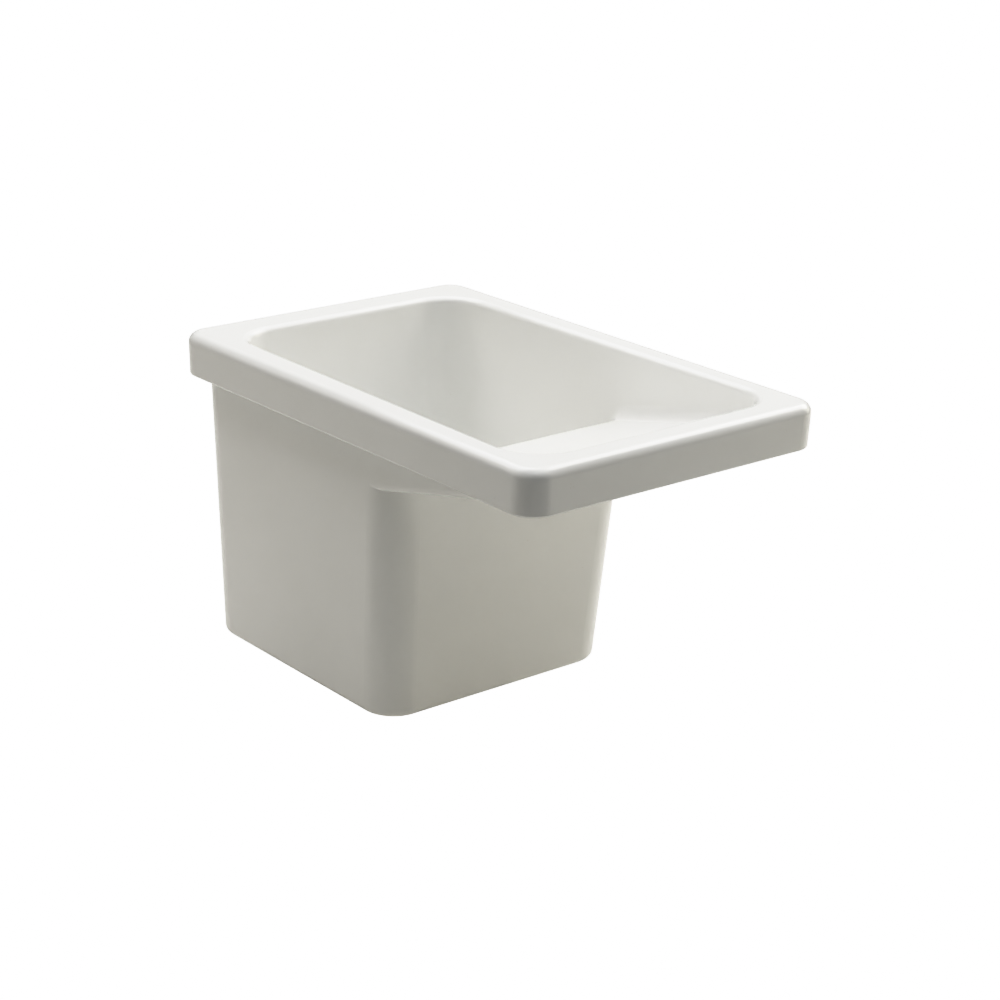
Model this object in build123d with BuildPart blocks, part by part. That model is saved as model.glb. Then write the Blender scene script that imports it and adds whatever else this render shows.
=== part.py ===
from build123d import *
from math import cos, radians, sin, tan
import os

# Laundry sink: one glazed fireclay casting with a basket strainer waste in its floor.
# Origin: middle of the wall face, at the height of the rim's bearing underside.
# X runs across the sink, -Y towards the person, +Z up. Lengths in millimetres, angles in degrees.

# Rim
sink_width = 390.0
sink_length = 600.0
sink_height = 365.0
rim_height = 48.0
rim_draft = 1.7
rim_corner = 27.0
rim_top_round = 11.0
rim_foot_round = 3.0
ledge_width = 21.5
ledge_fillet = 5.0

# Glaze and clay ground off to make the wall face flat
wall_ground = 3.2

# Opening in the rim, a little wider at the front than at the wall
back_land = 45.5
front_land = 35.0
side_land_back = 38.0
side_land_front = 30.0
opening_corner = 50.0
opening_round = 7.0

# Deep body under the back of the rim
body_length = 358.0
body_side_draft = 2.7
body_front_draft = 4.33
body_corner = 40.0
body_foot_round = 9.0

# Bowl inside the deep body
front_wall = 18.0
floor_wall = 22.0
bowl_side_draft = 2.5
bowl_back_draft = 1.0
bowl_floor_round = 26.0
cove_round = 16.0

# Sloping scrubbing shelf in front of the bowl
slope_angle = 13.0
slope_wall = 18.8
slope_foot_drop = 78.6
slope_foot_round = 12.0
slope_edge_round = 9.0

# Waste seat in the floor, and the floor's fall towards it
waste_from_wall = 172.0
waste_hole_radius = 45.0
seat_clearance = 2.5
seat_rebate_depth = 4.0
floor_fall = 4.0
fall_width = 40.0

# Strainer cup, pressed from sheet
cup_sheet = 1.2
cup_flange_radius = 56.5
cup_mouth_radius = 45.0
cup_mouth_drop = 5.2
cup_radius = 42.3
cup_upper_depth = 34.0
cup_shoulder_drop = 4.0
cup_lower_radius = 34.0
cup_depth = 48.0
cup_bend = 2.5
shoulder_bend = 1.0
cup_hole_count = 8
cup_hole_radius = 5.5
cup_hole_ring = 22.0

# Seals above and below the casting
cup_seal_thickness = 2.0
cup_seal_width = 8.0
foot_seal_thickness = 4.0
foot_seal_inset = 1.5

# Waste body, moulded, with its outlet tail and central boss
waste_drop = 58.0
waste_flange_radius = 54.5
waste_flange_thickness = 6.0
waste_wall = 3.0
cup_foot_gap = 1.5
outlet_radius = 23.9
outlet_length = 17.0
outlet_wall = 3.6
boss_wall = 2.5
boss_gap = 0.5
boss_floor = 2.0
rib_count = 3
rib_thickness = 3.0

# Clamp screw with its washer and moulded-in nut
screw_radius = 4.0
screw_head_radius = 7.5
screw_head_height = 4.2
screw_slot_width = 2.0
screw_slot_depth = 1.8
screw_hole_clearance = 0.4
screw_tip_gap = 2.0
washer_radius = 9.5
washer_thickness = 1.2
nut_across_flats = 13.0
nut_length = 11.0
thread_clearance = 0.05
screw_tip_chamfer = 0.5

# Lift-out basket
seat_gap = 0.3
basket_sheet = 1.0
basket_lip_inset = 0.6
basket_side_gap = 1.4
basket_bend = 4.0
lip_bend = 1.0
side_slot_count = 20
side_slot_width = 3.0
side_slot_height = 8.0
drain_hole_radius = 1.8
drain_hole_counts = (8, 14, 20)
drain_ring_radii = (13.5, 21.5, 29.5)

# Plug under the basket, worked by the knob above it
plug_travel = 8.0
plug_side_gap = 2.8
plug_thickness = 4.0
plug_top_round = 1.0
backing_radius = 14.0
backing_thickness = 1.0
stem_radius = 4.0
stem_clearance = 0.4
stem_foot = 3.0
collar_radius = 7.0
collar_thickness = 1.2
clip_radius = 7.0
clip_thickness = 1.0
clip_groove_depth = 0.8
clip_mouth_width = 5.6
knob_radius = 12.0
knob_foot_radius = 9.0
knob_waist_radius = 7.0
knob_height = 16.0
knob_head_height = 5.0
knob_bend = 2.0
knob_socket_depth = 7.0

# Margins for picking edges by their place
level_margin = 0.01
place_margin = 1.0

# Levels of the casting
rim_top = rim_height
foot_level = rim_height - sink_height
floor_level = foot_level + floor_wall
fall_level = floor_level - floor_fall
seat_level = fall_level - seat_rebate_depth
overlap = rim_top - rim_top_round - opening_round

# Levels of the waste, counted from the top of the cup's flange
cup_top = seat_level + cup_seal_thickness + cup_sheet
cup_inner = cup_radius - cup_sheet
shoulder_level = cup_top - cup_upper_depth
ledge_level = shoulder_level - cup_shoulder_drop
cup_floor = cup_top - cup_depth
shoulder_slope = cup_shoulder_drop / (cup_inner - cup_lower_radius)
plug_radius = cup_inner - plug_side_gap
plug_level = ledge_level + seat_gap * (1 + shoulder_slope**2) ** 0.5
plug_rim = plug_level + (plug_radius - cup_lower_radius) * shoulder_slope
plug_top = plug_level + plug_thickness
backing_top = plug_top + backing_thickness
collar_top = backing_top + collar_thickness
basket_foot = collar_top + plug_travel + seat_gap
basket_floor = basket_foot + basket_sheet
knob_level = basket_floor + seat_gap
waste_top = foot_level - foot_seal_thickness
outlet_end = foot_level - waste_drop
outlet_top = outlet_end + outlet_length
outlet_bore = outlet_radius - outlet_wall
boss_top = cup_floor - cup_sheet - boss_gap
nut_foot = boss_top - nut_length
boss_foot = nut_foot - boss_floor
boss_radius = nut_across_flats / 3**0.5 + boss_wall
washer_top = cup_floor + washer_thickness
screw_tip = nut_foot + screw_tip_gap
screw_hole = screw_radius + screw_hole_clearance
axis_y = -waste_from_wall

# Planes and axes that several pieces share
waste_axis = Axis((0, axis_y, 0), (0, 0, 1))
waste_section = Plane.XZ.offset(waste_from_wall)

os.makedirs("parts", exist_ok=True)


def waste_plane(level):
    """Level plane with its origin on the waste's axis."""
    return Plane(origin=(0, axis_y, level), x_dir=(1, 0, 0), z_dir=(0, 0, 1))


def drafted_block(half_width, length, side_draft, front_draft, top, foot):
    """Block drafted on its sides and front, still unground at the back, sized at level 0."""
    side = tan(radians(side_draft))
    front = tan(radians(front_draft))
    with BuildPart() as block:
        with BuildSketch(Plane.XZ.offset(-wall_ground)):
            with BuildLine():
                Polyline(
                    (-half_width - top * side, top),
                    (half_width + top * side, top),
                    (half_width + foot * side, foot),
                    (-half_width - foot * side, foot),
                    close=True,
                )
            make_face()
        extrude(amount=wall_ground + length + top * front)
        with BuildSketch(Plane.YZ):
            with BuildLine():
                Polyline(
                    (wall_ground, top),
                    (-length - top * front, top),
                    (-length - foot * front, foot),
                    (wall_ground, foot),
                    close=True,
                )
            make_face()
        extrude(amount=half_width + top * side, both=True, mode=Mode.INTERSECT)
    return block.part


def tall_edges(part):
    """The four corner edges that run the whole height of a drafted block."""
    height = part.bounding_box().size.Z
    return part.edges().filter_by(lambda edge: edge.bounding_box().size.Z > height * 0.9)


def lies_level(edge, level):
    """True for an edge that lies in the horizontal plane at this level."""
    box = edge.bounding_box()
    return abs(box.min.Z - level) < level_margin and abs(box.max.Z - level) < level_margin


def opening_outline(level):
    """The opening's plan at one level, drawn in as the bowl's walls come down."""
    drop = rim_top - level
    sides = drop * tan(radians(bowl_side_draft))
    back = drop * tan(radians(bowl_back_draft))
    front = drop * tan(radians(body_front_draft))
    half_back = sink_width / 2 - side_land_back - sides
    half_front = sink_width / 2 - side_land_front - sides
    with BuildSketch() as outline:
        with BuildLine():
            Polyline(
                (-half_back, -back_land - back),
                (half_back, -back_land - back),
                (half_front, front_land - sink_length + front),
                (-half_front, front_land - sink_length + front),
                close=True,
            )
        make_face()
        fillet(outline.vertices(), opening_corner)
    return outline.sketch


def sheet_section(points, bends, sheet, side):
    """Half section of a pressed sheet, from its drawn face and its thickness."""
    with BuildSketch() as section:
        with BuildLine():
            FilletPolyline(*points, radius=bends)
            offset(amount=sheet, side=side, kind=Kind.INTERSECTION)
        make_face()
    return section.sketch


# Rim block. The draft and the top round are allowed for, so that its widest line is the sink's size.
rim_spread = rim_top_round * (tan(radians(rim_draft)) + 1 / cos(radians(rim_draft)) - 1)
rim_inset = rim_top * tan(radians(rim_draft)) - rim_spread
rim_half = sink_width / 2 - rim_inset
with BuildPart() as rim_block:
    add(drafted_block(rim_half, sink_length - rim_inset, rim_draft, rim_draft, rim_top, 0))
    fillet(tall_edges(rim_block.part), rim_corner)
    fillet(rim_block.faces().sort_by(Axis.Z)[-1].edges(), rim_top_round)
    fillet(rim_block.faces().sort_by(Axis.Z)[0].edges(), rim_foot_round)
    split(bisect_by=Plane.XZ)

# Deep body under the back of the rim
body_half = rim_half - ledge_width
with BuildPart() as body_block:
    add(
        drafted_block(
            body_half, body_length, body_side_draft, body_front_draft, overlap, foot_level
        )
    )
    fillet(tall_edges(body_block.part), body_corner)
    fillet(body_block.faces().sort_by(Axis.Z)[0].edges(), body_foot_round)
    split(bisect_by=Plane.XZ)

# Shelf block. Its sides are the body's own side planes, and its underside follows the slope.
slope_rise = tan(radians(slope_angle))
slope_foot = rim_top - slope_foot_drop
slope_start = body_length + slope_foot * tan(radians(body_front_draft)) - front_wall
slope_depth = slope_wall / cos(radians(slope_angle))
shelf_length = sink_length - rim_corner / 2
shelf_root = body_length / 2
shelf_low = slope_foot + (shelf_root - slope_start) * slope_rise - slope_depth
shelf_high = slope_foot + (shelf_length - slope_start) * slope_rise - slope_depth
with BuildPart() as shelf_block:
    add(drafted_block(body_half, shelf_length, body_side_draft, 0, overlap, shelf_low))
    with BuildSketch(Plane.YZ):
        with BuildLine():
            Polyline(
                (-shelf_root, overlap),
                (-shelf_length, overlap),
                (-shelf_length, shelf_high),
                (-shelf_root, shelf_low),
                close=True,
            )
        make_face()
    extrude(amount=sink_width, both=True, mode=Mode.INTERSECT)
    lower_edges = shelf_block.edges().filter_by(lambda edge: edge.center().Z < overlap / 2)
    lower_edges = lower_edges.filter_by(
        lambda edge: edge.bounding_box().size.Y > shelf_root / 2
    )
    fillet(lower_edges, slope_edge_round)

# Hollow of the opening and bowl: drafted walls cut by the side profile, with one cove all round
hollow_top = rim_top + opening_round
hollow_foot = floor_level - bowl_floor_round
slope_end = slope_foot + (sink_length - slope_start) * slope_rise
with BuildPart() as hollow:
    with BuildSketch(Plane.XY.offset(hollow_top)):
        add(opening_outline(hollow_top))
    with BuildSketch(Plane.XY.offset(hollow_foot)):
        add(opening_outline(hollow_foot))
    loft(ruled=True)
    with BuildSketch(Plane.YZ):
        with BuildLine():
            bowl_front = slope_start + (floor_level - slope_foot) * tan(radians(body_front_draft))
            FilletPolyline(
                (0, hollow_top),
                (0, floor_level),
                (-bowl_front, floor_level),
                (-slope_start, slope_foot),
                (-sink_length, slope_end),
                (-sink_length, hollow_top),
                radius=[0, 0, bowl_floor_round, slope_foot_round, 0, 0],
                close=True,
            )
        make_face()
    extrude(amount=sink_width, both=True, mode=Mode.INTERSECT)
    wall_height = (rim_top - floor_level) / 2
    cove_edges = hollow.edges().filter_by(
        lambda edge: edge.center().Z < rim_top - opening_round
        and edge.bounding_box().size.Z < wall_height
    )
    cove_edges = cove_edges + hollow.edges().filter_by(
        lambda edge: edge.bounding_box().size.Z > wall_height
        and edge.center().Y < -slope_start + front_wall
    )
    fillet(cove_edges, cove_round)

# The casting
with BuildPart() as basin:
    add(body_block.part)
    add(shelf_block.part)
    add(rim_block.part)
    ledge_line = basin.edges().filter_by(
        lambda edge: lies_level(edge, 0) and abs(edge.center().X) < body_half + ledge_fillet
    )
    ledge_line = ledge_line.filter_by(lambda edge: edge.length > body_length)
    fillet(ledge_line, ledge_fillet)
    add(hollow.part, mode=Mode.SUBTRACT)
    mouth_side = sink_width / 2 - side_land_front + place_margin
    mouth_back = -back_land + place_margin
    mouth_front = front_land - sink_length - place_margin
    mouth_line = basin.edges().filter_by(
        lambda edge: lies_level(edge, rim_top)
        and abs(edge.center().X) < mouth_side
        and mouth_front < edge.center().Y < mouth_back
    )
    fillet(mouth_line, opening_round)
    with BuildSketch(waste_section):
        with BuildLine():
            Polyline(
                (0, floor_level + bowl_floor_round),
                (cup_flange_radius + seat_clearance + fall_width, floor_level + bowl_floor_round),
                (cup_flange_radius + seat_clearance + fall_width, floor_level),
                (cup_flange_radius + seat_clearance, fall_level),
                (cup_flange_radius + seat_clearance, seat_level),
                (waste_hole_radius, seat_level),
                (waste_hole_radius, foot_level - overlap),
                (0, foot_level - overlap),
                close=True,
            )
        make_face()
    revolve(axis=waste_axis, mode=Mode.SUBTRACT)
basin.part.label = "basin"
export_step(basin.part, "parts/basin.step")

# Strainer cup: flange, tapered mouth, deep bowl and a shoulder for the plug
mouth_end = cup_top - cup_mouth_drop
cup_points = [
    (cup_flange_radius, cup_top),
    (cup_mouth_radius, cup_top),
    (cup_inner, mouth_end),
    (cup_inner, shoulder_level),
    (cup_lower_radius, ledge_level),
    (cup_lower_radius, cup_floor),
    (0, cup_floor),
]
cup_bends = [cup_bend, cup_bend, shoulder_bend, shoulder_bend, cup_bend]
with BuildPart() as strainer_cup:
    with BuildSketch(waste_section):
        add(sheet_section(cup_points, cup_bends, cup_sheet, Side.LEFT))
    revolve(axis=waste_axis)
    with BuildSketch(waste_plane(cup_floor)):
        Circle(screw_hole)
        with PolarLocations(cup_hole_ring, cup_hole_count):
            Circle(cup_hole_radius)
    extrude(amount=cup_bend, both=True, mode=Mode.SUBTRACT)
strainer_cup.part.label = "strainer_cup"
export_step(strainer_cup.part, "parts/strainer_cup.step")

# Seal between the cup's flange and its seat in the casting
with BuildPart() as cup_seal:
    with BuildSketch(waste_plane(seat_level)):
        Circle(cup_flange_radius)
        Circle(cup_flange_radius - cup_seal_width, mode=Mode.SUBTRACT)
    extrude(amount=cup_seal_thickness)
cup_seal.part.label = "cup_seal"
export_step(cup_seal.part, "parts/cup_seal.step")

# Seal between the casting's foot and the waste body's flange
with BuildPart() as foot_seal:
    with BuildSketch(waste_plane(waste_top)):
        Circle(waste_flange_radius - foot_seal_inset)
        Circle(waste_hole_radius + foot_seal_inset, mode=Mode.SUBTRACT)
    extrude(amount=foot_seal_thickness)
foot_seal.part.label = "foot_seal"
export_step(foot_seal.part, "parts/foot_seal.step")

# Waste body: a flanged dish round the cup, a threaded tail, and a ribbed boss for the nut
dish_foot = cup_floor - cup_sheet - cup_foot_gap
outlet_mouth = outlet_top + waste_wall
with BuildPart() as waste_body:
    with BuildSketch(waste_section):
        with BuildLine():
            Polyline(
                (waste_hole_radius, waste_top),
                (waste_flange_radius, waste_top),
                (waste_flange_radius, waste_top - waste_flange_thickness),
                (waste_hole_radius + waste_wall, waste_top - waste_flange_thickness),
                (waste_hole_radius + waste_wall, dish_foot - waste_wall),
                (outlet_radius, outlet_top),
                (outlet_radius, outlet_end),
                (outlet_bore, outlet_end),
                (outlet_bore, outlet_mouth),
                (waste_hole_radius, dish_foot),
                close=True,
            )
        make_face()
    revolve(axis=waste_axis)
    with BuildSketch(waste_plane(boss_foot)):
        Circle(boss_radius)
        with PolarLocations(outlet_radius / 2, rib_count):
            Rectangle(outlet_bore + outlet_wall / 2, rib_thickness)
    extrude(amount=boss_top - boss_foot)
    with BuildSketch(waste_plane(nut_foot)):
        RegularPolygon(nut_across_flats / 2, 6, major_radius=False)
    extrude(amount=nut_length, mode=Mode.SUBTRACT)
waste_body.part.label = "waste_body"
export_step(waste_body.part, "parts/waste_body.step")

# Clamp nut, moulded into the boss
with BuildPart() as clamp_nut:
    with BuildSketch(waste_plane(nut_foot)):
        RegularPolygon(nut_across_flats / 2, 6, major_radius=False)
        Circle(screw_radius + thread_clearance, mode=Mode.SUBTRACT)
    extrude(amount=nut_length)
clamp_nut.part.label = "clamp_nut"
export_step(clamp_nut.part, "parts/clamp_nut.step")

# Washer under the screw's head
with BuildPart() as screw_washer:
    with BuildSketch(waste_plane(cup_floor)):
        Circle(washer_radius)
        Circle(screw_hole, mode=Mode.SUBTRACT)
    extrude(amount=washer_thickness)
screw_washer.part.label = "screw_washer"
export_step(screw_washer.part, "parts/screw_washer.step")

# Clamp screw, which draws the cup and the waste body together through the casting
with BuildPart() as clamp_screw:
    with BuildSketch(waste_plane(screw_tip)):
        Circle(screw_radius)
    extrude(amount=washer_top - screw_tip)
    with BuildSketch(waste_plane(washer_top)):
        Circle(screw_head_radius)
    extrude(amount=screw_head_height)
    fillet(clamp_screw.edges().sort_by(Axis.Z)[-1], screw_slot_depth / 2)
    with BuildSketch(waste_plane(washer_top + screw_head_height)):
        Rectangle(screw_head_radius * 2, screw_slot_width)
    extrude(amount=-screw_slot_depth, mode=Mode.SUBTRACT)
    chamfer(clamp_screw.edges().sort_by(Axis.Z)[0], screw_tip_chamfer)
clamp_screw.part.label = "clamp_screw"
export_step(clamp_screw.part, "parts/clamp_screw.step")

# Basket: a pressed lip that sits in the cup's mouth, slotted sides and a drilled floor
mouth_slope = cup_mouth_drop / (cup_mouth_radius - cup_inner)
mouth_gap = seat_gap * (1 + mouth_slope**2) ** 0.5
lip_radius = cup_mouth_radius - basket_lip_inset
lip_level = cup_top - basket_lip_inset * mouth_slope + mouth_gap
basket_radius = cup_inner - basket_side_gap
side_top = cup_top - (cup_mouth_radius - basket_radius) * mouth_slope + mouth_gap
basket_points = [
    (lip_radius, lip_level),
    (basket_radius, side_top),
    (basket_radius, basket_foot),
    (0, basket_foot),
]
slot_level = (side_top + basket_foot + basket_bend) / 2
slot_planes = [
    Plane(
        origin=(0, axis_y, slot_level),
        x_dir=(-sin(radians(turn)), cos(radians(turn)), 0),
        z_dir=(cos(radians(turn)), sin(radians(turn)), 0),
    )
    for turn in [360 * slot / side_slot_count for slot in range(side_slot_count)]
]
with BuildPart() as basket:
    with BuildSketch(waste_section):
        add(sheet_section(basket_points, [lip_bend, basket_bend], basket_sheet, Side.RIGHT))
    revolve(axis=waste_axis)
    with BuildSketch(waste_plane(basket_foot)):
        Circle(stem_radius + stem_clearance)
        for hole_count, ring_radius in zip(drain_hole_counts, drain_ring_radii):
            with PolarLocations(ring_radius, hole_count):
                Circle(drain_hole_radius)
    extrude(amount=basket_sheet, mode=Mode.SUBTRACT)
    with BuildSketch(*slot_planes):
        SlotOverall(side_slot_height, side_slot_width, rotation=90)
    extrude(amount=cup_radius, mode=Mode.SUBTRACT)
basket.part.label = "basket"
export_step(basket.part, "parts/basket.step")

# Plug: a rubber disc whose bevel closes on the cup's shoulder
with BuildPart() as plug:
    with BuildSketch(waste_section):
        with BuildLine():
            Polyline(
                (stem_radius, plug_level),
                (cup_lower_radius, plug_level),
                (plug_radius, plug_rim),
                (plug_radius, plug_top),
                (stem_radius, plug_top),
                close=True,
            )
        make_face()
    revolve(axis=waste_axis)
    fillet(plug.edges().group_by(Axis.Z)[-1].sort_by(SortBy.LENGTH)[-1], plug_top_round)
plug.part.label = "plug"
export_step(plug.part, "parts/plug.step")

# Backing washer on top of the plug
with BuildPart() as plug_backing:
    with BuildSketch(waste_plane(plug_top)):
        Circle(backing_radius)
        Circle(stem_radius, mode=Mode.SUBTRACT)
    extrude(amount=backing_thickness)
plug_backing.part.label = "plug_backing"
export_step(plug_backing.part, "parts/plug_backing.step")

# Stem, with a collar over the backing washer and a groove for its clip
stem_end = plug_level - stem_foot
stem_top = knob_level + knob_socket_depth
groove_radius = stem_radius - clip_groove_depth
with BuildPart() as plug_stem:
    with BuildSketch(waste_plane(stem_end)):
        Circle(stem_radius)
    extrude(amount=stem_top - stem_end)
    with BuildSketch(waste_plane(backing_top)):
        Circle(collar_radius)
    extrude(amount=collar_thickness)
    with BuildSketch(waste_plane(plug_level)):
        Circle(stem_radius)
        Circle(groove_radius, mode=Mode.SUBTRACT)
    extrude(amount=-clip_thickness, mode=Mode.SUBTRACT)
plug_stem.part.label = "plug_stem"
export_step(plug_stem.part, "parts/plug_stem.step")

# Open clip, snapped into the stem's groove under the plug
with BuildPart() as stem_clip:
    with BuildSketch(waste_plane(plug_level)):
        Circle(clip_radius)
        Circle(groove_radius, mode=Mode.SUBTRACT)
        with Locations((clip_radius, 0)):
            Rectangle(clip_radius * 2, clip_mouth_width, mode=Mode.SUBTRACT)
    extrude(amount=-clip_thickness)
stem_clip.part.label = "stem_clip"
export_step(stem_clip.part, "parts/stem_clip.step")

# Knob, turned with a waist for the fingers and pressed on the stem
knob_top = knob_level + knob_height
head_level = knob_top - knob_head_height
with BuildPart() as knob:
    with BuildSketch(waste_section):
        with BuildLine():
            FilletPolyline(
                (0, knob_level),
                (knob_foot_radius, knob_level),
                (knob_waist_radius, head_level - knob_bend),
                (knob_radius, head_level + knob_bend / 2),
                (knob_radius, knob_top),
                (0, knob_top),
                radius=[0, knob_bend / 2, knob_bend, knob_bend / 2, knob_bend, 0],
                close=True,
            )
        make_face()
    revolve(axis=waste_axis)
    with BuildSketch(waste_plane(knob_level)):
        Circle(stem_radius)
    extrude(amount=knob_socket_depth, mode=Mode.SUBTRACT)
knob.part.label = "knob"
export_step(knob.part, "parts/knob.step")
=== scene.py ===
import math

import bpy
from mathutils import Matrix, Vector


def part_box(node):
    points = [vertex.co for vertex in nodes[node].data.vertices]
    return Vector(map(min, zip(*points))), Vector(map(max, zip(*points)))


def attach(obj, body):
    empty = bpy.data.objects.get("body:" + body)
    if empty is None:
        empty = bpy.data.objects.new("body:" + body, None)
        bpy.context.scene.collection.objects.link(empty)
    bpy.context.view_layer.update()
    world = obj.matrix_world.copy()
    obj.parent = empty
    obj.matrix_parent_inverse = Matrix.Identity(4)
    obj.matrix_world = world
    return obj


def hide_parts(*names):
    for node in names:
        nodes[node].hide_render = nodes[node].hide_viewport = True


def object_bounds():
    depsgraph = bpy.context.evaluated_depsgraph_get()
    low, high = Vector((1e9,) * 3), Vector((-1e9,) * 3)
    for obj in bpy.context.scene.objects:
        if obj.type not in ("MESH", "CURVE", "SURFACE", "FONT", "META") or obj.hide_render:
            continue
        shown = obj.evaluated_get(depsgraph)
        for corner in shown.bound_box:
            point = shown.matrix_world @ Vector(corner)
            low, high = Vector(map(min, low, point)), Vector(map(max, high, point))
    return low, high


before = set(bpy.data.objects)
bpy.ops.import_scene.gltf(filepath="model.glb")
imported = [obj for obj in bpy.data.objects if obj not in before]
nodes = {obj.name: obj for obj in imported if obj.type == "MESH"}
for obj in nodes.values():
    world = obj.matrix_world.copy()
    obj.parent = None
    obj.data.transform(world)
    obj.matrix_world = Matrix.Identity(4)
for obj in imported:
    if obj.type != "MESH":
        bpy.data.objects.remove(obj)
cad_box = [list(corner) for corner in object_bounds()]

# Camera
# The photographer stands at the front left corner and looks down at the sink from the height of
# a raised tripod. The lens is given by its focal length in pixels of the 1000 pixel wide picture.
picture_width = 1000
sensor_width = 36.0
focal_pixels = 2338.3
look_at = Vector((-0.0563, -0.2757, -0.1))
distance = 2.5207
heading = math.radians(-38.22)
look_down = math.radians(19.68)
tilt = math.radians(0.94)
centre_column = 430.0
centre_row = 500.0

forward = Vector(
    (
        -math.sin(heading) * math.cos(look_down),
        math.cos(heading) * math.cos(look_down),
        -math.sin(look_down),
    )
)
bpy.ops.object.camera_add(
    location=look_at - forward * distance,
    rotation=(math.pi / 2 - look_down, 0, heading),
)
camera = bpy.context.object
camera.name = "photo_camera"
camera.rotation_euler.rotate_axis("Z", tilt)
camera.data.sensor_width = sensor_width
camera.data.lens = focal_pixels / picture_width * sensor_width
camera.data.shift_x = 0.5 - centre_column / picture_width
camera.data.shift_y = centre_row / picture_width - 0.5
camera.data.clip_start = 0.05
camera.data.clip_end = 200
bpy.context.scene.camera = camera

# The camera's response: straight in the middle tones, and bending over from 0.8 to the floor's
# pure white at 1.6, so that a white object still shows its shape in full light.
pure_white = 1.6
response = bpy.context.scene.view_settings
response.view_transform = "Standard"
response.use_curve_mapping = True
response.curve_mapping.white_level = (pure_white, pure_white, pure_white)
for light, tone in ((0.08, 0.04), (0.2, 0.16), (0.8, 0.76), (1.0, 0.87), (1.2, 0.92)):
    response.curve_mapping.curves[3].points.new(light / pure_white, tone)
response.curve_mapping.update()


# Basin
# One hollow casting of fireclay, dipped in an opaque white glaze and fired. Its wall face is
# ground flat after firing and the glaze is wiped off its foot, so both show the bare buff clay.
def linear(hex_colour):
    """An sRGB hex colour as the four linear numbers that a shader socket takes."""
    channels = [int(hex_colour[i : i + 2], 16) / 255 for i in (1, 3, 5)]
    return [c / 12.92 if c <= 0.04045 else ((c + 0.055) / 1.055) ** 2.4 for c in channels] + [1]


def every(millimetres):
    """The texture scale whose pattern repeats at about this spacing."""
    return 1000 / millimetres


def new_material(name):
    """An empty node material and its output node."""
    material = bpy.data.materials.new(name)
    material.use_nodes = True
    material.node_tree.nodes.clear()
    output = material.node_tree.nodes.new("ShaderNodeOutputMaterial")
    return material, output


def add_node(material, kind, sockets=None, **settings):
    """Adds a node. A socket's value is a constant, or another node's output to link from."""
    node = material.node_tree.nodes.new(kind)
    for name, value in settings.items():
        setattr(node, name, value)
    for name, value in (sockets or {}).items():
        if isinstance(value, bpy.types.NodeSocket):
            material.node_tree.links.new(value, node.inputs[name])
        else:
            node.inputs[name].default_value = value
    return node


def finish_material(material, output, shader):
    """Makes the shader the material's surface."""
    material.node_tree.links.new(shader.outputs[0], output.inputs["Surface"])


def dress(piece, material):
    """Gives a piece or a CAD node its real finish in place of the plain one."""
    if not piece.material_slots:
        piece.data.materials.append(material)
    for slot in piece.material_slots:
        slot.material = material


# Glazed fireclay, dipped and fired: a glassy, slightly creamy white whose reflections swim a
# little, because the casting isn't quite flat and the glaze dries with a faint orange peel.
foot_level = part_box("basin")[0][2]
glaze, glaze_output = new_material("glazed_fireclay_dipped")
glaze_place = add_node(glaze, "ShaderNodeTexCoord").outputs["Object"]
glaze_axes = add_node(glaze, "ShaderNodeSeparateXYZ", {"Vector": glaze_place})

# The sponge leaves an uneven line 1 to 3 mm up from the foot.
sponge_unevenness = 0.003
wiped_height = 0.0035
ground_depth = 0.0003
sponge_line = add_node(
    glaze, "ShaderNodeTexNoise", {"Vector": glaze_place, "Scale": every(14), "Detail": 3.0}
)
foot_distance = add_node(
    glaze,
    "ShaderNodeMath",
    {0: sponge_line.outputs["Fac"], 1: sponge_unevenness, 2: glaze_axes.outputs["Z"]},
    operation="MULTIPLY_ADD",
)
wiped_foot = add_node(
    glaze,
    "ShaderNodeMath",
    {0: foot_distance.outputs[0], 1: foot_level + wiped_height},
    operation="LESS_THAN",
)
ground_wall = add_node(
    glaze,
    "ShaderNodeMath",
    {0: glaze_axes.outputs["Y"], 1: -ground_depth},
    operation="GREATER_THAN",
)
bare_clay = add_node(
    glaze,
    "ShaderNodeMath",
    {0: wiped_foot.outputs[0], 1: ground_wall.outputs[0]},
    operation="MAXIMUM",
).outputs[0]

# Thicker and thinner glaze, and a few iron specks half a millimetre across.
speck_spacing = 13
speck_radius = 0.25
glaze_depth = add_node(
    glaze, "ShaderNodeTexNoise", {"Vector": glaze_place, "Scale": every(110), "Detail": 2.0}
)
glaze_tone = add_node(
    glaze,
    "ShaderNodeMixRGB",
    {"Fac": glaze_depth.outputs["Fac"], "Color1": linear("#FAFAF8"), "Color2": linear("#F6F6F3")},
)
speck_place = add_node(
    glaze, "ShaderNodeTexVoronoi", {"Vector": glaze_place, "Scale": every(speck_spacing)}
)
speck = add_node(
    glaze,
    "ShaderNodeMath",
    {0: speck_place.outputs["Distance"], 1: speck_radius / speck_spacing},
    operation="LESS_THAN",
)
speckled_glaze = add_node(
    glaze,
    "ShaderNodeMixRGB",
    {"Fac": speck.outputs[0], "Color1": glaze_tone.outputs[0], "Color2": linear("#C9C0AE")},
)
clay_grain = add_node(
    glaze, "ShaderNodeTexNoise", {"Vector": glaze_place, "Scale": every(1.6), "Detail": 4.0}
)
clay_tone = add_node(
    glaze,
    "ShaderNodeMixRGB",
    {"Fac": clay_grain.outputs["Fac"], "Color1": linear("#EFE7D8"), "Color2": linear("#D3C5AC")},
)
basin_tone = add_node(
    glaze,
    "ShaderNodeMixRGB",
    {"Fac": bare_clay, "Color1": speckled_glaze.outputs[0], "Color2": clay_tone.outputs[0]},
)

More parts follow.
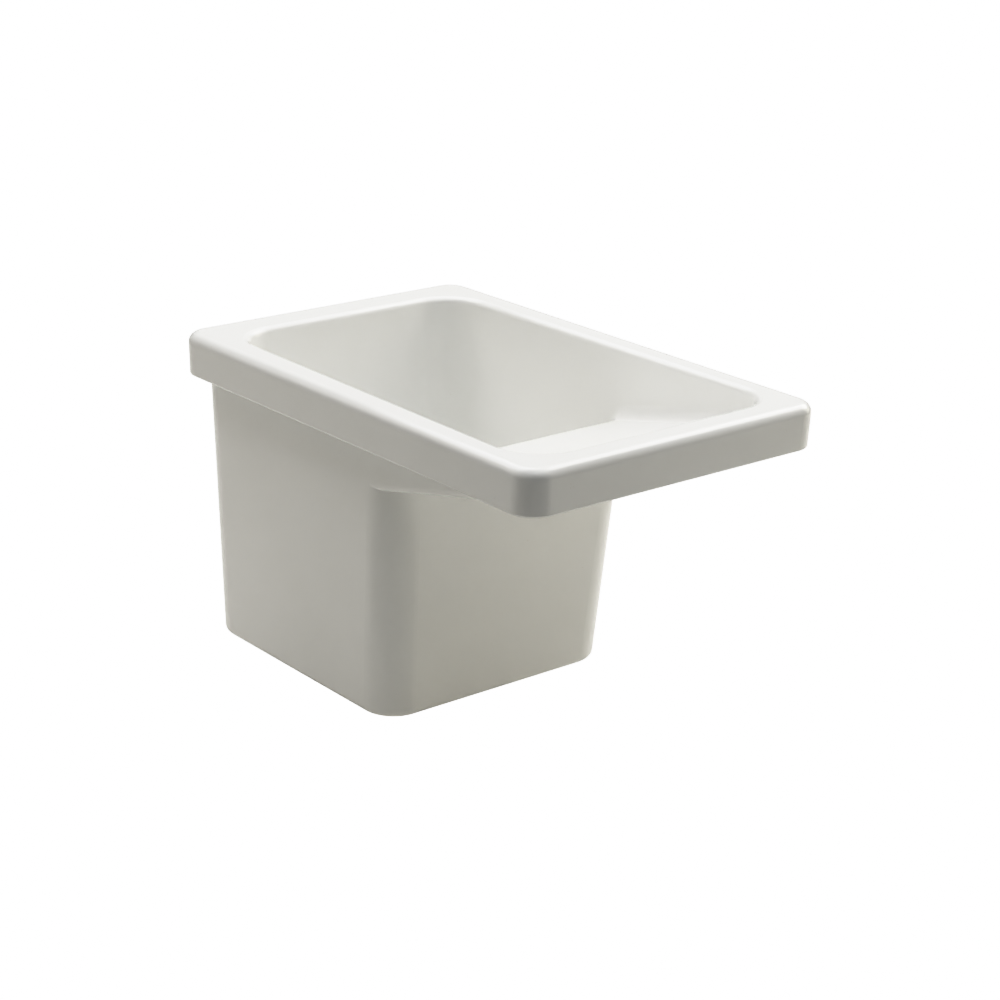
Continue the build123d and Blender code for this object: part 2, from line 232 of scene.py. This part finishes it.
# Fired glass is smooth, with a dried film of water in places, and bare clay isn't.
water_film = add_node(
    glaze, "ShaderNodeTexNoise", {"Vector": glaze_place, "Scale": every(45), "Detail": 4.0}
)
glaze_gloss = add_node(
    glaze,
    "ShaderNodeMapRange",
    {
        "Value": water_film.outputs["Fac"],
        "From Min": 0.35,
        "From Max": 0.7,
        "To Min": 0.06,
        "To Max": 0.12,
    },
)
basin_gloss = add_node(
    glaze,
    "ShaderNodeMapRange",
    {"Value": bare_clay, "To Min": glaze_gloss.outputs[0], "To Max": 0.88},
)

# The casting bows by a fifth of a millimetre, the peel is 10 microns deep, and the bare clay has
# its grain and the long marks of the grinding belt, a tenth of a millimetre deep.
bow_height = 0.0002
peel_depth = 0.00001
grain_depth = 0.0001
belt_place = add_node(glaze, "ShaderNodeMapping", {"Vector": glaze_place, "Scale": (0.04, 1, 1)})
casting_bow = add_node(
    glaze, "ShaderNodeTexNoise", {"Vector": glaze_place, "Scale": every(160), "Detail": 1.0}
)
bowed = add_node(
    glaze,
    "ShaderNodeBump",
    {"Height": casting_bow.outputs["Fac"], "Strength": 1.0, "Distance": bow_height},
)
orange_peel = add_node(
    glaze, "ShaderNodeTexNoise", {"Vector": glaze_place, "Scale": every(9), "Detail": 1.5}
)
peeled = add_node(
    glaze,
    "ShaderNodeBump",
    {
        "Height": orange_peel.outputs["Fac"],
        "Strength": 1.0,
        "Distance": peel_depth,
        "Normal": bowed.outputs[0],
    },
)
belt_marks = add_node(
    glaze,
    "ShaderNodeTexNoise",
    {"Vector": belt_place.outputs[0], "Scale": every(2.5), "Detail": 3.0},
)
rough_height = add_node(
    glaze,
    "ShaderNodeMath",
    {0: clay_grain.outputs["Fac"], 1: belt_marks.outputs["Fac"]},
    operation="ADD",
)
grain_height = add_node(
    glaze, "ShaderNodeMath", {0: rough_height.outputs[0], 1: bare_clay}, operation="MULTIPLY"
)
grained = add_node(
    glaze,
    "ShaderNodeBump",
    {
        "Height": grain_height.outputs[0],
        "Strength": 1.0,
        "Distance": grain_depth,
        "Normal": peeled.outputs[0],
    },
)
glaze_shader = add_node(
    glaze,
    "ShaderNodeBsdfPrincipled",
    {
        "Base Color": basin_tone.outputs[0],
        "Roughness": basin_gloss.outputs[0],
        "IOR": 1.52,
        "Normal": grained.outputs[0],
    },
)
finish_material(glaze, glaze_output, glaze_shader)
dress(nodes["basin"], glaze)

# Strainer cup
# One pressing of stainless sheet with a rolled flange, eight drain holes and a hole for the
# screw. It lines the waste hole, and the screw pulls it down onto its rubber ring.
waste_axis = Vector((0, -0.172, 0))


def around_waste(material):
    """How far from the waste's axis a point is and how high, as a vector, for spun patterns."""
    place = add_node(material, "ShaderNodeTexCoord").outputs["Object"]
    centred = add_node(material, "ShaderNodeMapping", {"Vector": place, "Location": -waste_axis})
    level = add_node(
        material,
        "ShaderNodeVectorMath",
        {0: centred.outputs[0], 1: (1, 1, 0)},
        operation="MULTIPLY",
    )
    radius = add_node(material, "ShaderNodeVectorMath", {0: level.outputs[0]}, operation="LENGTH")
    axes = add_node(material, "ShaderNodeSeparateXYZ", {"Vector": centred.outputs[0]})
    spun = add_node(
        material, "ShaderNodeCombineXYZ", {"X": radius.outputs["Value"], "Z": axes.outputs["Z"]}
    )
    return place, spun.outputs[0]


# Austenitic stainless sheet, deep drawn and then polished on a spinning mandrel: fine rings round
# the axis, which smear each highlight into a short bar. The rings are 0.1 mm apart on the real
# one, and are drawn 0.6 mm apart to show.
steel, steel_output = new_material("stainless_sheet_drawn_and_spun_polished")
steel_place, steel_rings = around_waste(steel)
polish = add_node(
    steel, "ShaderNodeTexNoise", {"Vector": steel_rings, "Scale": every(0.6), "Detail": 3.0}
)
steel_stain = add_node(
    steel, "ShaderNodeTexNoise", {"Vector": steel_place, "Scale": every(18), "Detail": 4.0}
)
steel_tone = add_node(
    steel,
    "ShaderNodeMixRGB",
    {"Fac": steel_stain.outputs["Fac"], "Color1": linear("#D2D1CE"), "Color2": linear("#BDBBB6")},
)
steel_wear = add_node(
    steel,
    "ShaderNodeMath",
    {0: polish.outputs["Fac"], 1: steel_stain.outputs["Fac"]},
    operation="ADD",
)
steel_gloss = add_node(
    steel,
    "ShaderNodeMapRange",
    {
        "Value": steel_wear.outputs[0],
        "From Min": 0.7,
        "From Max": 1.3,
        "To Min": 0.16,
        "To Max": 0.34,
    },
)
ring_depth = 0.00002
steel_lines = add_node(
    steel,
    "ShaderNodeBump",
    {"Height": polish.outputs["Fac"], "Strength": 0.6, "Distance": ring_depth},
)
steel_shader = add_node(
    steel,
    "ShaderNodeBsdfPrincipled",
    {
        "Base Color": steel_tone.outputs[0],
        "Metallic": 1.0,
        "Roughness": steel_gloss.outputs[0],
        "Normal": steel_lines.outputs[0],
    },
)
finish_material(steel, steel_output, steel_shader)
dress(nodes["strainer_cup"], steel)

# Basket
# A second, thinner pressing of the same sheet, slotted and punched, with a turned-over lip. It
# hangs in the cup's mouth by that lip and lifts straight out.
dress(nodes["basket"], steel)

# Seal rings
# Two moulded rubber rings, one under the cup's flange and one between the foot of the casting
# and the waste body. The screw squeezes both.

# Moulded nitrile rubber: nearly black, matt with a dull sheen, and greyed in patches where wax
# blooms out of it.
rubber, rubber_output = new_material("nitrile_rubber_moulded")
rubber_place = add_node(rubber, "ShaderNodeTexCoord").outputs["Object"]
bloom = add_node(
    rubber, "ShaderNodeTexNoise", {"Vector": rubber_place, "Scale": every(12), "Detail": 5.0}
)
rubber_tone = add_node(
    rubber,
    "ShaderNodeMixRGB",
    {"Fac": bloom.outputs["Fac"], "Color1": linear("#1F2021"), "Color2": linear("#35363A")},
)
rubber_gloss = add_node(
    rubber, "ShaderNodeMapRange", {"Value": bloom.outputs["Fac"], "To Min": 0.48, "To Max": 0.78}
)
mould_skin = add_node(
    rubber, "ShaderNodeTexNoise", {"Vector": rubber_place, "Scale": every(0.7), "Detail": 3.0}
)
mould_depth = 0.00004
rubber_skin = add_node(
    rubber,
    "ShaderNodeBump",
    {"Height": mould_skin.outputs["Fac"], "Strength": 0.7, "Distance": mould_depth},
)
rubber_shader = add_node(
    rubber,
    "ShaderNodeBsdfPrincipled",
    {
        "Base Color": rubber_tone.outputs[0],
        "Roughness": rubber_gloss.outputs[0],
        "IOR": 1.52,
        "Normal": rubber_skin.outputs[0],
    },
)
finish_material(rubber, rubber_output, rubber_shader)
dress(nodes["cup_seal"], rubber)
dress(nodes["foot_seal"], rubber)


# Waste body
# A moulded polypropylene dish with a ribbed boss for the nut. Its outlet tail has a parallel
# pipe thread of 11 turns to the inch, which is cut here because the solid has only its crest.
flank_angle = math.radians(27.5)
turn_steps = 48
merge_distance = 0.000001
crease_angle = math.radians(30)


def cut_thread(node_name, piece_name, crest, depth, pitch, low, high):
    """A copy of a node with the groove of a right-hand thread cut into its outside.

    The flanks are the pipe thread's, also on the screw, whose real ones are 30 degrees.
    """
    bpy.ops.object.select_all(action="DESELECT")
    bpy.context.view_layer.objects.active = nodes[node_name]
    nodes[node_name].select_set(True)
    bpy.ops.object.duplicate()
    piece = bpy.context.object
    piece.name = piece_name
    bpy.ops.object.mode_set(mode="EDIT")
    bpy.ops.mesh.select_all(action="SELECT")
    bpy.ops.mesh.remove_doubles(threshold=merge_distance)
    bpy.ops.object.mode_set(mode="OBJECT")

    clear = 0.1 * pitch
    root_width = 0.22 * pitch
    flank = math.tan(flank_angle)
    mouth_width = root_width + 2 * flank * (depth + clear)
    thread_start = waste_axis + Vector((0, 0, low))
    bpy.ops.object.select_all(action="DESELECT")
    bpy.ops.mesh.primitive_plane_add(size=1, location=thread_start)
    groove = bpy.context.object
    bpy.ops.object.mode_set(mode="EDIT")
    bpy.ops.transform.resize(value=(depth + clear, mouth_width, 1))
    bpy.ops.transform.rotate(
        value=math.pi / 2, orient_axis="X", center_override=thread_start
    )
    bpy.ops.mesh.select_mode(type="VERT")
    bpy.ops.mesh.select_all(action="DESELECT")
    bpy.ops.object.mode_set(mode="OBJECT")
    for corner in groove.data.vertices:
        corner.select = corner.co.x < 0
    bpy.ops.object.mode_set(mode="EDIT")
    bpy.ops.transform.resize(
        value=(1, 1, root_width / mouth_width), center_override=thread_start
    )
    bpy.ops.mesh.select_all(action="SELECT")
    bpy.ops.transform.translate(value=(crest - depth + (depth + clear) / 2, 0, 0))
    bpy.ops.mesh.delete(type="ONLY_FACE")
    bpy.ops.object.mode_set(mode="OBJECT")

    winding = groove.modifiers.new("winding", "SCREW")
    winding.steps = turn_steps
    winding.render_steps = turn_steps
    winding.screw_offset = pitch
    winding.iterations = round((high - low) / pitch)
    bpy.ops.object.modifier_apply(modifier=winding.name)
    bpy.ops.object.mode_set(mode="EDIT")
    bpy.ops.mesh.select_all(action="SELECT")
    bpy.ops.mesh.fill_holes(sides=4)
    bpy.ops.mesh.normals_make_consistent(inside=False)
    bpy.ops.object.mode_set(mode="OBJECT")

    bpy.ops.object.select_all(action="DESELECT")
    bpy.context.view_layer.objects.active = piece
    piece.select_set(True)
    cut = piece.modifiers.new("thread", "BOOLEAN")
    cut.operation = "DIFFERENCE"
    cut.solver = "EXACT"
    cut.object = groove
    bpy.ops.object.modifier_apply(modifier=cut.name)
    bpy.data.objects.remove(groove)
    bpy.ops.object.shade_smooth_by_angle(angle=crease_angle)
    even = piece.modifiers.new("even_shading", "WEIGHTED_NORMAL")
    even.keep_sharp = True
    bpy.ops.object.modifier_apply(modifier=even.name)
    return piece


# Polypropylene, injection moulded in a spark-eroded tool: a milky grey-white with a soft, broad
# sheen. The tool's grain is 0.1 mm, and is drawn at 0.5 mm to show.
plastic, plastic_output = new_material("polypropylene_moulded")
plastic_place = add_node(plastic, "ShaderNodeTexCoord").outputs["Object"]
melt_flow = add_node(
    plastic, "ShaderNodeTexNoise", {"Vector": plastic_place, "Scale": every(25), "Detail": 3.0}
)
plastic_tone = add_node(
    plastic,
    "ShaderNodeMixRGB",
    {"Fac": melt_flow.outputs["Fac"], "Color1": linear("#E2E2DE"), "Color2": linear("#D3D4D1")},
)
plastic_gloss = add_node(
    plastic,
    "ShaderNodeMapRange",
    {"Value": melt_flow.outputs["Fac"], "To Min": 0.34, "To Max": 0.52},
)
tool_grain = add_node(
    plastic, "ShaderNodeTexNoise", {"Vector": plastic_place, "Scale": every(0.5), "Detail": 2.0}
)
tool_grain_depth = 0.00003
plastic_skin = add_node(
    plastic,
    "ShaderNodeBump",
    {"Height": tool_grain.outputs["Fac"], "Strength": 0.6, "Distance": tool_grain_depth},
)
plastic_shader = add_node(
    plastic,
    "ShaderNodeBsdfPrincipled",
    {
        "Base Color": plastic_tone.outputs[0],
        "Roughness": plastic_gloss.outputs[0],
        "IOR": 1.49,
        "Subsurface Weight": 0.25,
        "Subsurface Radius": (1.0, 0.9, 0.8),
        "Subsurface Scale": 0.0015,
        "Normal": plastic_skin.outputs[0],
    },
)
finish_material(plastic, plastic_output, plastic_shader)

tail_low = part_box("waste_body")[0][2]
inch = 0.0254
tail_pitch = inch / 11
tail_radius = 0.0239
tail_thread_depth = 0.00135
tail_turns = 6
threaded_waste = cut_thread(
    "waste_body",
    "waste_body_threaded",
    crest=tail_radius,
    depth=tail_thread_depth,
    pitch=tail_pitch,
    low=tail_low - tail_pitch / 2,
    high=tail_low + tail_turns * tail_pitch,
)
dress(threaded_waste, plastic)
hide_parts("waste_body")
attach(threaded_waste, "sink")

# Clamp nut
# A hexagon nut cut from drawn brass bar, held in the waste body's boss by the moulding.

# Drawn brass bar, machined and left bare: warm yellow metal that has dulled unevenly, with
# turning marks on its faces.
brass, brass_output = new_material("brass_bar_machined")
brass_place, brass_rings = around_waste(brass)
tarnish = add_node(
    brass, "ShaderNodeTexNoise", {"Vector": brass_place, "Scale": every(4), "Detail": 4.0}
)
brass_tone = add_node(
    brass,
    "ShaderNodeMixRGB",
    {"Fac": tarnish.outputs["Fac"], "Color1": linear("#D8B768"), "Color2": linear("#B08E48")},
)
brass_gloss = add_node(
    brass, "ShaderNodeMapRange", {"Value": tarnish.outputs["Fac"], "To Min": 0.2, "To Max": 0.45}
)
brass_turning = add_node(
    brass, "ShaderNodeTexNoise", {"Vector": brass_rings, "Scale": every(0.3), "Detail": 2.0}
)
turning_depth = 0.00001
brass_lines = add_node(
    brass,
    "ShaderNodeBump",
    {"Height": brass_turning.outputs["Fac"], "Strength": 0.6, "Distance": turning_depth},
)
brass_shader = add_node(
    brass,
    "ShaderNodeBsdfPrincipled",
    {
        "Base Color": brass_tone.outputs[0],
        "Metallic": 1.0,
        "Roughness": brass_gloss.outputs[0],
        "Normal": brass_lines.outputs[0],
    },
)
finish_material(brass, brass_output, brass_shader)
dress(nodes["clamp_nut"], brass)

# Clamp screw and its washer
# A slotted screw and a flat washer, both turned from stainless bar. The screw goes through the
# cup's floor into the nut and holds the whole waste together.

# Stainless bar, turned bright: a sharper, whiter gloss than the sheet's, with the tool's feed
# marks round it. They are 0.08 mm apart on the real one, and are drawn 0.25 mm apart to show.
bar, bar_output = new_material("stainless_bar_turned")
bar_place, bar_rings = around_waste(bar)
feed_marks = add_node(
    bar, "ShaderNodeTexNoise", {"Vector": bar_rings, "Scale": every(0.25), "Detail": 1.0}
)
handling = add_node(
    bar, "ShaderNodeTexNoise", {"Vector": bar_place, "Scale": every(6), "Detail": 3.0}
)
bar_tone = add_node(
    bar,
    "ShaderNodeMixRGB",
    {"Fac": handling.outputs["Fac"], "Color1": linear("#D9D8D6"), "Color2": linear("#C4C2BE")},
)
bar_gloss = add_node(
    bar, "ShaderNodeMapRange", {"Value": handling.outputs["Fac"], "To Min": 0.1, "To Max": 0.28}
)
bar_lines = add_node(
    bar,
    "ShaderNodeBump",
    {"Height": feed_marks.outputs["Fac"], "Strength": 0.6, "Distance": turning_depth},
)
bar_shader = add_node(
    bar,
    "ShaderNodeBsdfPrincipled",
    {
        "Base Color": bar_tone.outputs[0],
        "Metallic": 1.0,
        "Roughness": bar_gloss.outputs[0],
        "Normal": bar_lines.outputs[0],
    },
)
finish_material(bar, bar_output, bar_shader)

screw_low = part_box("clamp_screw")[0][2]
screw_pitch = 0.00125
screw_radius = 0.004
screw_thread_depth = 0.0007
screw_turns = 7
threaded_screw = cut_thread(
    "clamp_screw",
    "clamp_screw_threaded",
    crest=screw_radius,
    depth=screw_thread_depth,
    pitch=screw_pitch,
    low=screw_low - screw_pitch / 2,
    high=screw_low + screw_turns * screw_pitch,
)
dress(threaded_screw, bar)
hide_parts("clamp_screw")
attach(threaded_screw, "sink")
dress(nodes["screw_washer"], bar)

# Plug
# A bevelled disc of moulded rubber under the basket's floor. Pushed down, it shuts the cup's
# narrow part.
dress(nodes["plug"], rubber)

# Plug's stem, backing washer and clip
# A turned rod with a collar, a washer that spreads its pull on the rubber, and a spring clip in
# its groove below. They hold the plug on the rod.
dress(nodes["plug_stem"], bar)
dress(nodes["plug_backing"], bar)
dress(nodes["stem_clip"], bar)

# Knob
# A finger knob turned from brass and chromium plated, screwed onto the top of the stem.

# Chromium plate over polished nickel: a cold mirror, dulled a little by fingers.
chrome, chrome_output = new_material("chromium_plate_polished")
chrome_place = add_node(chrome, "ShaderNodeTexCoord").outputs["Object"]
fingers = add_node(
    chrome, "ShaderNodeTexNoise", {"Vector": chrome_place, "Scale": every(5), "Detail": 4.0}
)
chrome_tone = add_node(
    chrome,
    "ShaderNodeMixRGB",
    {"Fac": fingers.outputs["Fac"], "Color1": linear("#E3E5E8"), "Color2": linear("#D5D7DA")},
)
chrome_gloss = add_node(
    chrome,
    "ShaderNodeMapRange",
    {
        "Value": fingers.outputs["Fac"],
        "From Min": 0.4,
        "From Max": 0.7,
        "To Min": 0.04,
        "To Max": 0.16,
    },
)
chrome_shader = add_node(
    chrome,
    "ShaderNodeBsdfPrincipled",
    {"Base Color": chrome_tone.outputs[0], "Metallic": 1.0, "Roughness": chrome_gloss.outputs[0]},
)
finish_material(chrome, chrome_output, chrome_shader)
dress(nodes["knob"], chrome)

# Floor and light
# A studio floor that the camera sees as plain white, and six softboxes. The light the floor
# throws
# back has painted shade: its colour turns grey in front of the near corner, standing in for light
# falling off on that side. No low softbox stands there, so the rounded corners there are the
# darkest places.
floor_level = cad_box[0][2]
floor_size = 60
# Painted shade: the floor's bounce colour starts turning grey 0.8 m out towards the near corner
# and is fully grey at 1.0 m.
painted_shade_direction = (-0.619, -0.786, 0)
painted_shade_start = 0.8
painted_shade_full = 1.0
bpy.ops.object.select_all(action="DESELECT")
bpy.ops.mesh.primitive_plane_add(size=floor_size, location=(0, 0, floor_level))
floor = bpy.context.object
floor.name = "floor"
floor_paint, floor_output = new_material("white_floor_with_painted_shade")
seen = add_node(floor_paint, "ShaderNodeLightPath")
floor_place = add_node(floor_paint, "ShaderNodeTexCoord").outputs["Object"]
towards_front = add_node(
    floor_paint,
    "ShaderNodeVectorMath",
    {0: floor_place, 1: painted_shade_direction},
    operation="DOT_PRODUCT",
)
# Painted shade: 0 on the pale floor, rising to 1 in the grey band in front of the near corner.
painted_shade_fade = add_node(
    floor_paint,
    "ShaderNodeMapRange",
    {
        "Value": towards_front.outputs["Value"],
        "From Min": painted_shade_start,
        "From Max": painted_shade_full,
    },
)
# Painted shade: pale floor colour, turning to grey where the floor's bounce is darkened; the
# camera still sees plain white.
floor_and_painted_shade_tone = add_node(
    floor_paint,
    "ShaderNodeMixRGB",
    {"Fac": painted_shade_fade.outputs[0], "Color1": linear("#E6E5E1"), "Color2": linear("#ADADAA")},
)
floor_diffuse = add_node(floor_paint, "ShaderNodeBsdfDiffuse", {"Color": floor_and_painted_shade_tone.outputs[0]})
floor_glow = add_node(
    floor_paint, "ShaderNodeEmission", {"Color": linear("#FFFFFF"), "Strength": pure_white}
)
floor_mix = add_node(
    floor_paint,
    "ShaderNodeMixShader",
    {0: seen.outputs["Is Camera Ray"], 1: floor_diffuse.outputs[0], 2: floor_glow.outputs[0]},
)
finish_material(floor_paint, floor_output, floor_mix)
floor.data.materials.append(floor_paint)

studio_glow = 0.02
world = bpy.data.worlds.new("studio")
bpy.context.scene.world = world
world.use_nodes = True
background = world.node_tree.nodes["Background"]
background.inputs["Color"].default_value = linear("#FFFFFF")
background.inputs["Strength"].default_value = studio_glow

light_target = Vector((0, -0.3, -0.1))

# Name, degrees round from the front, degrees up, metres away, width, height, watts and colour.
softboxes = (
    ("back_softbox", 180, 60, 2.6, 2.4, 1.6, 34, "#FFFFFF"),
    ("overhead_softbox", 0, 89.9, 1.9, 2.4, 2.4, 22, "#FCFDFF"),
    ("front_high_softbox", 10, 60, 2.6, 1.6, 1.6, 7, "#FFFFFF"),
    ("right_softbox", 90, 40, 3.0, 1.8, 1.8, 48, "#FFFDFA"),
    ("right_low_softbox", 75, 22, 2.6, 1.2, 1.8, 14, "#FFF8E0"),
    ("left_back_softbox", -135, 40, 3.0, 1.8, 1.8, 13, "#FFF7E9"),
)
for name, bearing, rise, away, width, height, watts, colour in softboxes:
    bearing = math.radians(bearing)
    rise = math.radians(rise)
    direction = Vector(
        (
            math.sin(bearing) * math.cos(rise),
            -math.cos(bearing) * math.cos(rise),
            math.sin(rise),
        )
    )
    bpy.ops.object.light_add(type="AREA", location=light_target + direction * away)
    softbox = bpy.context.object
    softbox.name = name
    softbox.rotation_mode = "QUATERNION"
    softbox.rotation_quaternion = (-direction).to_track_quat("-Z", "Y")
    softbox.data.shape = "RECTANGLE"
    softbox.data.size = width
    softbox.data.size_y = height
    softbox.data.energy = watts
    softbox.data.color = linear(colour)[:3]
